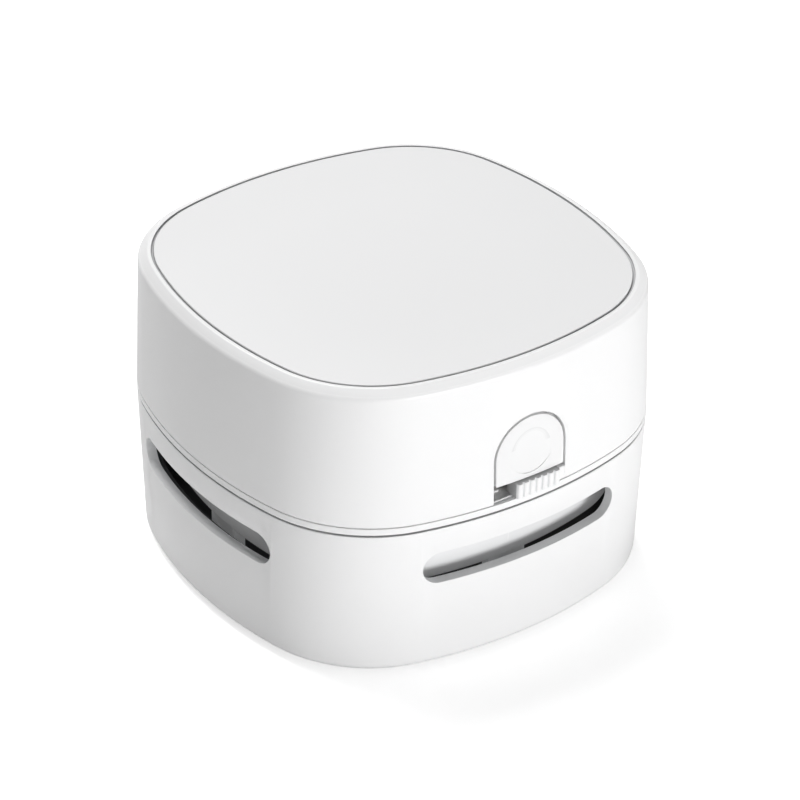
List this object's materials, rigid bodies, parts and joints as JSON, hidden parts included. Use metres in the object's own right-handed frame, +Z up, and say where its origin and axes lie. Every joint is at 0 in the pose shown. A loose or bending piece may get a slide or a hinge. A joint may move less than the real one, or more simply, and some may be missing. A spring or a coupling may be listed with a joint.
{
  "type": "desktop vacuum cleaner",
  "caption": "Palm-sized rounded-square desk vacuum in two halves, with a push button, a ribbed slider, air slots in each side and a fan, filter and dust cup inside.",
  "frame": {"origin": "the centre of the footprint, on the surface the feet stand on", "axes": "+Z up, -Y towards the front with the button and slider, +X to the right as seen from the front"},
  "size_m": [0.086, 0.0869, 0.059],
  "materials": {
    "white_plastic": "semi-gloss white",
    "panel_plastic": "satin white",
    "grey_plastic": "light grey",
    "guide_plastic": "mid grey",
    "black_plastic": "black",
    "fan_plastic": "mid grey",
    "bristle": "black nylon",
    "rubber": "dark grey",
    "foot_rubber": "grey",
    "steel": "plated",
    "filter_paper": "off-white",
    "battery_wrap": "blue shrink wrap",
    "circuit_board": "green solder mask",
    "light_pipe": "frosted",
    "red_lead": "red",
    "black_lead": "black"
  },
  "bodies": {
    "lower_half": {"lower_shell": "white_plastic", "base_tray": "black_plastic", "brush_strip_front": "bristle", "brush_strip_rear": "bristle", "dust_cup": "grey_plastic", "cup_seal": "rubber", "foot_1": "foot_rubber", "foot_2": "foot_rubber", "foot_3": "foot_rubber", "foot_4": "foot_rubber", "tray_screw_1": "steel", "tray_screw_2": "steel", "tray_screw_3": "steel", "tray_screw_4": "steel"},
    "filter": {"filter_frame": "grey_plastic", "filter_media": "filter_paper"},
    "upper_half": {"chassis": "white_plastic", "upper_shell": "white_plastic", "top_panel": "panel_plastic", "case_screw_1": "steel", "case_screw_2": "steel", "case_screw_3": "steel", "case_screw_4": "steel", "fan_cover": "fan_plastic", "motor_can": "steel", "motor_end_cap": "black_plastic", "motor_screw_1": "steel", "motor_screw_2": "steel", "battery_pack": "battery_wrap", "control_board": "circuit_board", "charging_socket": "steel", "charge_light": "light_pipe", "switch_guide": "guide_plastic", "slide_switch": "steel", "release_spring_left": "steel", "release_spring_right": "steel", "motor_lead_red": "red_lead", "motor_lead_black": "black_lead", "battery_lead_red": "red_lead", "battery_lead_black": "black_lead"},
    "fan_rotor": {"motor_rotor": "steel", "impeller": "black_plastic"},
    "power_switch": {"power_slider": "white_plastic"},
    "latch_button": {"release_button": "white_plastic"}
  },
  "joints": [
    {"name": "upper_lift", "type": "slide", "parent": "lower_half", "child": "upper_half", "axis": [0, 0, 1], "range_m": [0, 0.045]},
    {"name": "filter_lift", "type": "slide", "parent": "lower_half", "child": "filter", "axis": [0, 0, 1], "range_m": [0, 0.0225]},
    {"name": "fan_spin", "type": "hinge", "parent": "upper_half", "child": "fan_rotor", "pos_m": [0, 0.00045, 0.03326], "axis": [0, 0, 1], "continuous": true},
    {"name": "switch_slide", "type": "slide", "parent": "upper_half", "child": "power_switch", "axis": [1, 0, 0], "range_m": [-0.004, 0]},
    {"name": "latch_press", "type": "slide", "parent": "upper_half", "child": "latch_button", "axis": [0, 1, 0], "range_m": [0, 0.0012], "stiffness_N_per_m": 600, "springref_m": -0.0005, "deforming": ["release_spring_left", "release_spring_right"]}
  ],
  "couplings": [
    {"joint": "filter_lift", "follows": "upper_lift", "ratio": 0.5}
  ]
}
